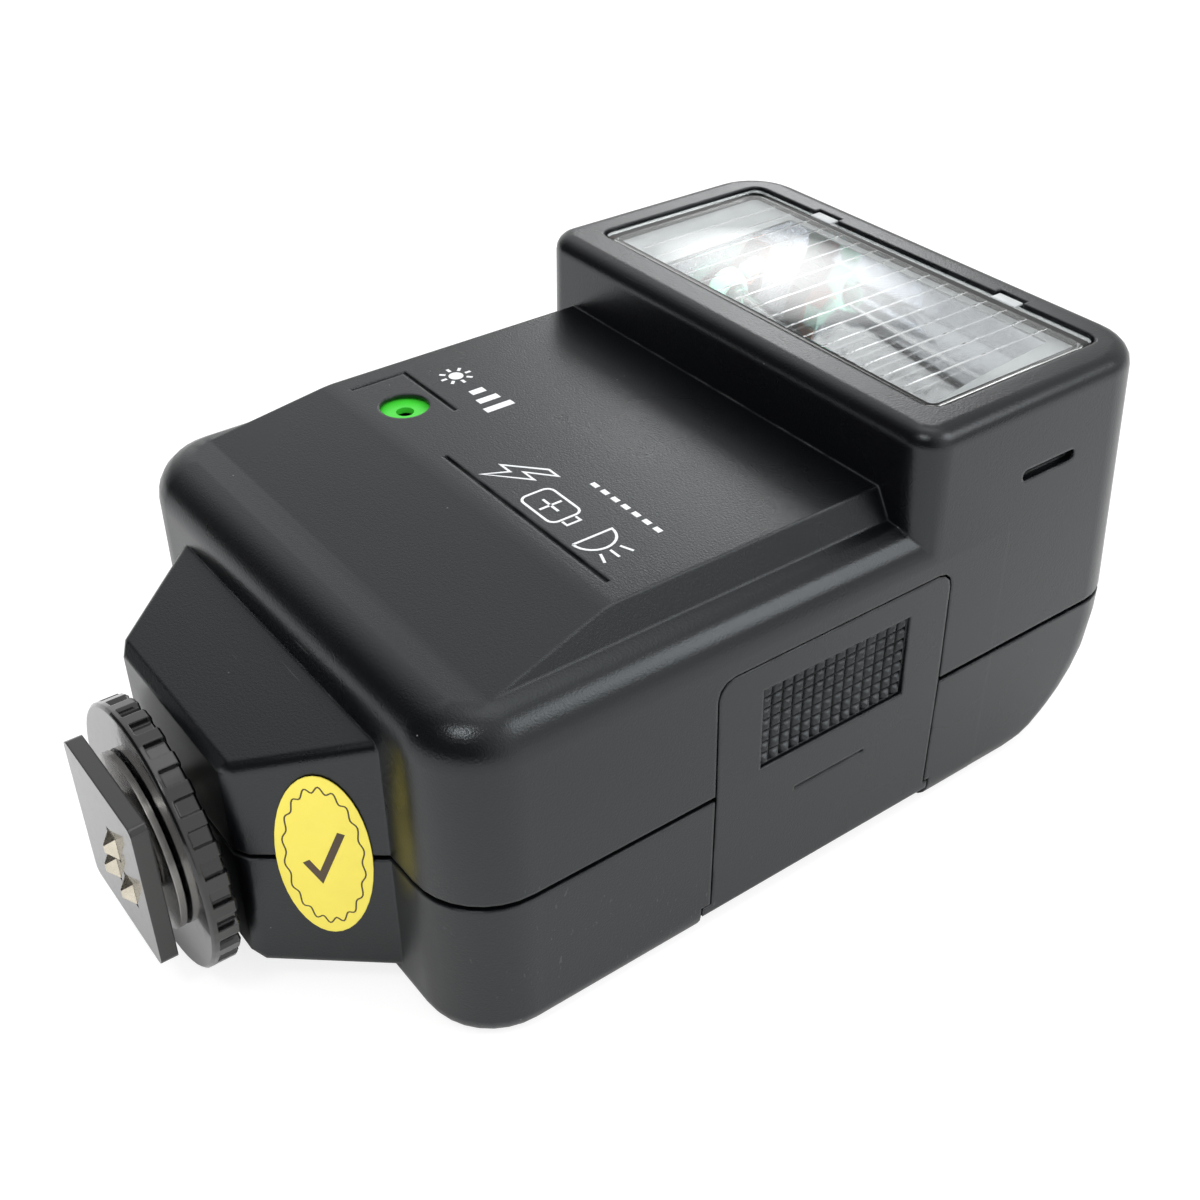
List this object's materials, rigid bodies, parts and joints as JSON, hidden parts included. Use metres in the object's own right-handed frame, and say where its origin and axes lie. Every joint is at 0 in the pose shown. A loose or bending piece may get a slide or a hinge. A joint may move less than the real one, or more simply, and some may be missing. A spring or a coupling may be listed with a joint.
{
  "type": "speedlight flash",
  "caption": "Hot-shoe speedlight lying on its back: body with raised flash head, ribbed window, battery door at the side, ridged lock ring and sprung foot contacts.",
  "frame": {"origin": "middle of the base: the flash lies on its rear face, z = 0 is that face", "axes": "+Y from the hot-shoe foot to the head, +Z the way the flash fires, +X towards the battery door"},
  "size_m": [0.0732, 0.1262, 0.0552],
  "materials": {
    "satin_black": "satin, very fine moulded grain",
    "gloss_black": "polished",
    "clear_panel": "clear, ribbed inside",
    "tube_glass": "clear",
    "mirror": "bright anodised sheet",
    "nickel": "nickel plated, warm",
    "copper": "copper",
    "steel": "zinc plated",
    "mint_silicone": "soft, satin",
    "green_slide": "bright green, satin",
    "dark_plastic": "dull",
    "board": "solder mask",
    "amber": "translucent",
    "yellow_paper": "printed label stock",
    "grey_print": "satin",
    "blue_sleeve": "shrink sleeve",
    "wire_red": "PVC insulation"
  },
  "bodies": {
    "shell": {"front_shell": "satin_black", "rear_shell": "satin_black", "window_panel": "clear_panel", "reflector": "mirror", "flash_tube": "tube_glass", "tube_pin_left": "steel", "tube_pin_right": "steel", "tube_boot_left": "mint_silicone", "tube_boot_right": "mint_silicone", "trigger_clip": "copper", "main_capacitor": "blue_sleeve", "circuit_board": "board", "inverter_transformer": "dark_plastic", "trigger_coil": "copper", "trigger_capacitor": "amber", "thyristor": "dark_plastic", "switching_transistor": "dark_plastic", "battery_chamber": "dark_plastic", "cell_link_strip": "nickel", "positive_terminal": "nickel", "negative_terminal": "nickel", "cell_spring_back_low": "steel", "cell_spring_back_high": "steel", "foot_plate": "gloss_black", "foot_stem": "steel", "scale_plate": "grey_print", "light_sensor": "dark_plastic", "ready_lamp": "amber", "shell_screw_1": "steel", "shell_screw_2": "steel", "shell_screw_3": "steel", "shell_screw_4": "steel", "inspection_sticker": "yellow_paper", "tube_lead_left": "wire_red", "tube_lead_right": "dark_plastic", "foot_lead": "wire_red", "battery_lead": "wire_red"},
    "hinge_pin": {"door_hinge_pin": "steel"},
    "door": {"battery_door": "satin_black", "door_strip_near": "nickel", "door_strip_far": "nickel", "cell_spring_door_low": "steel", "cell_spring_door_high": "steel"},
    "clamp": {"clamp_plate": "steel"},
    "ring": {"lock_ring": "gloss_black"},
    "centre_contact": {"contact_centre": "nickel"},
    "upper_contact": {"contact_upper": "nickel"},
    "side_contact": {"contact_side": "nickel"},
    "power_knob": {"power_switch": "grey_print"},
    "mode_slider": {"mode_switch": "grey_print", "mode_link": "dark_plastic", "aperture_slide": "green_slide"},
    "button": {"test_button": "grey_print"}
  },
  "joints": [
    {"name": "door_unlatch", "type": "slide", "parent": "shell", "child": "hinge_pin", "axis": [0, 0, -1], "range_m": [0, 0.0016]},
    {"name": "door_hinge", "type": "hinge", "parent": "hinge_pin", "child": "door", "pos_m": [0.0346, 0.01095, 0.0046], "axis": [0, 1, 0], "range_deg": [0, 90]},
    {"name": "clamp_travel", "type": "slide", "parent": "shell", "child": "clamp", "axis": [0, 1, 0], "range_m": [-0.00026, 0.00151]},
    {"name": "ring_turn", "type": "hinge", "parent": "clamp", "child": "ring", "pos_m": [0, -0.0562, 0.0162], "axis": [0, 1, 0], "range_deg": [-72, 432]},
    {"name": "centre_contact_press", "type": "slide", "parent": "shell", "child": "centre_contact", "axis": [0, 1, 0], "range_m": [0, 0.0005], "stiffness_N_per_m": 400},
    {"name": "upper_contact_press", "type": "slide", "parent": "shell", "child": "upper_contact", "axis": [0, 1, 0], "range_m": [0, 0.0005], "stiffness_N_per_m": 400},
    {"name": "side_contact_press", "type": "slide", "parent": "shell", "child": "side_contact", "axis": [0, 1, 0], "range_m": [0, 0.0005], "stiffness_N_per_m": 400},
    {"name": "power_slide", "type": "slide", "parent": "shell", "child": "power_knob", "axis": [1, 0, 0], "range_m": [0, 0.003]},
    {"name": "mode_slide", "type": "slide", "parent": "shell", "child": "mode_slider", "axis": [1, 0, 0], "range_m": [0, 0.0045]},
    {"name": "test_press", "type": "slide", "parent": "shell", "child": "button", "axis": [0, 0, 1], "range_m": [0, 0.0008], "stiffness_N_per_m": 500}
  ],
  "couplings": [
    {"joint": "clamp_travel", "follows": "ring_turn", "m_per_rad": 0.00019894}
  ]
}
